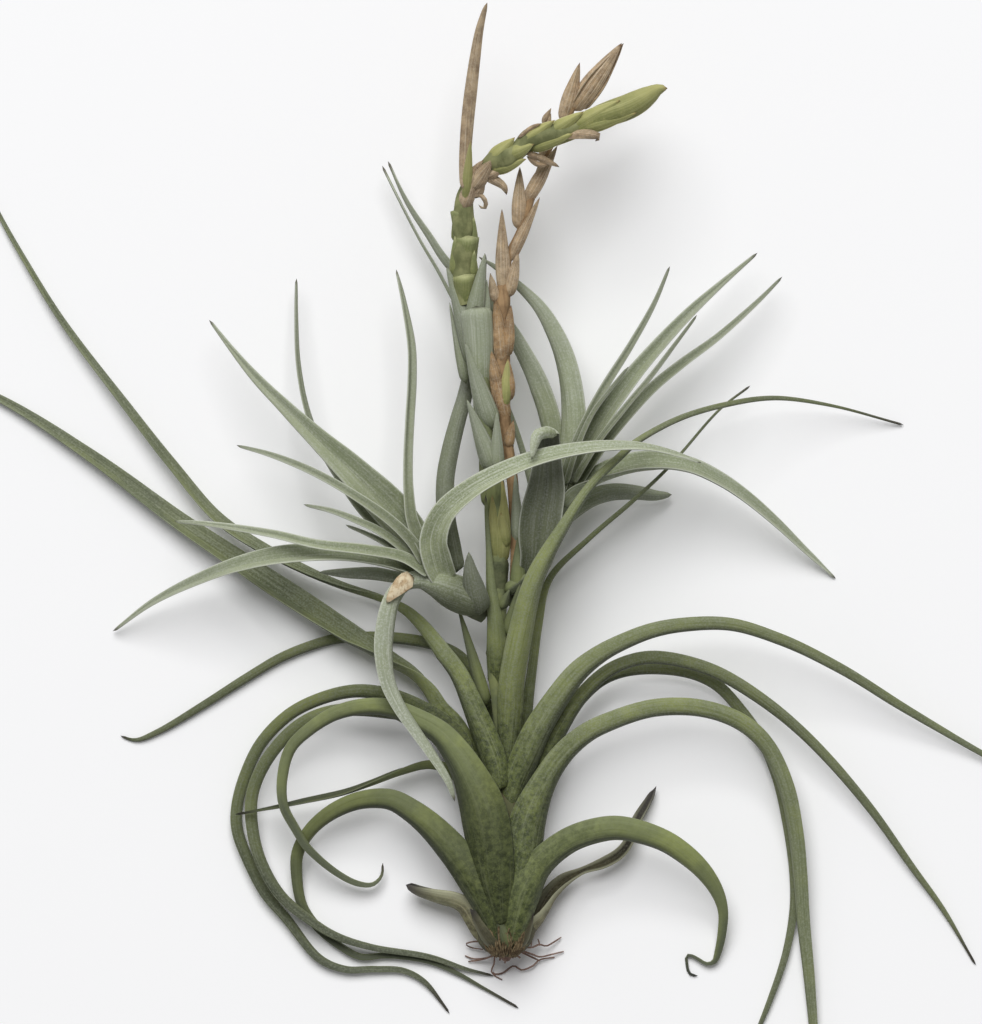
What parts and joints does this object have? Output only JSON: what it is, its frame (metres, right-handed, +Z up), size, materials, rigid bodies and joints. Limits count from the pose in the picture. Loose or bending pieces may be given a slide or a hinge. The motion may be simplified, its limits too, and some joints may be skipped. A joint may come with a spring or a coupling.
{
  "type": "air plant",
  "caption": "Air plant lying on its side: a bulbous rosette with long arching leaves, offsets on its flower stalk, a green and a dried flower spike, and wiry roots.",
  "frame": {"origin": "the flat spot under the bulb where the plant rests on the surface", "axes": "+Z up from the surface, +Y along the flower stalk from the roots to the flower spikes, +X to the right of the plant as it is seen from above"},
  "size_m": [0.4184, 0.4006, 0.0565],
  "materials": {
    "mother_leaf": "matt, mottled olive green with a silvery bloom of fine scales",
    "withered_leaf": "matt, greyish brown-green, shrivelled",
    "offset_leaf": "matt, silvery grey-green with pale margins",
    "stem": "matt olive green with dry brown bract ends",
    "green_spike": "satin yellow-green",
    "dried_bract": "dry, papery, tan to brown",
    "root": "matt, reddish brown, wiry"
  },
  "bodies": {
    "root": {"mother_stem": "stem", "flower_stalk": "stem", "green_flower_spike": "green_spike", "dried_flower_spike": "dried_bract", "left_offset_stem": "stem", "right_offset_stem": "stem", "mother_leaf_lower_right": "mother_leaf", "mother_leaf_lower_left": "mother_leaf", "mother_leaf_front": "mother_leaf", "mother_leaf_right_front": "mother_leaf", "mother_leaf_far_right": "mother_leaf", "mother_leaf_front_far_left": "mother_leaf", "mother_leaf_beside_stalk": "mother_leaf", "mother_leaf_far_left": "mother_leaf", "mother_leaf_outer_left_arc": "mother_leaf", "mother_leaf_second_left_arc": "mother_leaf", "mother_leaf_back_left": "mother_leaf", "mother_leaf_right_second": "mother_leaf", "mother_leaf_right_third": "mother_leaf", "mother_leaf_back_far_left": "mother_leaf", "mother_leaf_behind_stalk": "mother_leaf", "withered_leaf_right": "withered_leaf", "withered_leaf_left": "withered_leaf", "left_offset_leaf_front_arch": "offset_leaf", "left_offset_leaf_drooping": "offset_leaf", "left_offset_leaf_broad": "offset_leaf", "left_offset_leaf_behind_broad": "offset_leaf", "left_offset_leaf_upright": "offset_leaf", "left_offset_leaf_upper_left": "offset_leaf", "left_offset_leaf_left_short": "offset_leaf", "left_offset_leaf_left_shortest": "offset_leaf", "left_offset_leaf_left_long": "offset_leaf", "left_offset_leaf_far_left": "offset_leaf", "left_offset_leaf_grey_under": "offset_leaf", "left_offset_leaf_behind_stalk": "offset_leaf", "left_offset_leaf_small_front": "offset_leaf", "right_offset_leaf_cup": "offset_leaf", "right_offset_leaf_arch_right": "offset_leaf", "right_offset_leaf_curved_up": "offset_leaf", "right_offset_leaf_crossing_behind": "offset_leaf", "right_offset_leaf_crossing_thin": "offset_leaf", "right_offset_leaf_fan_first": "offset_leaf", "right_offset_leaf_fan_broad": "offset_leaf", "right_offset_leaf_fan_right": "offset_leaf", "right_offset_leaf_fan_thin": "offset_leaf", "right_offset_leaf_fan_short": "offset_leaf", "right_offset_leaf_short_curled": "offset_leaf", "dried_strap": "dried_bract", "roots": "root"}
  },
  "joints": []
}
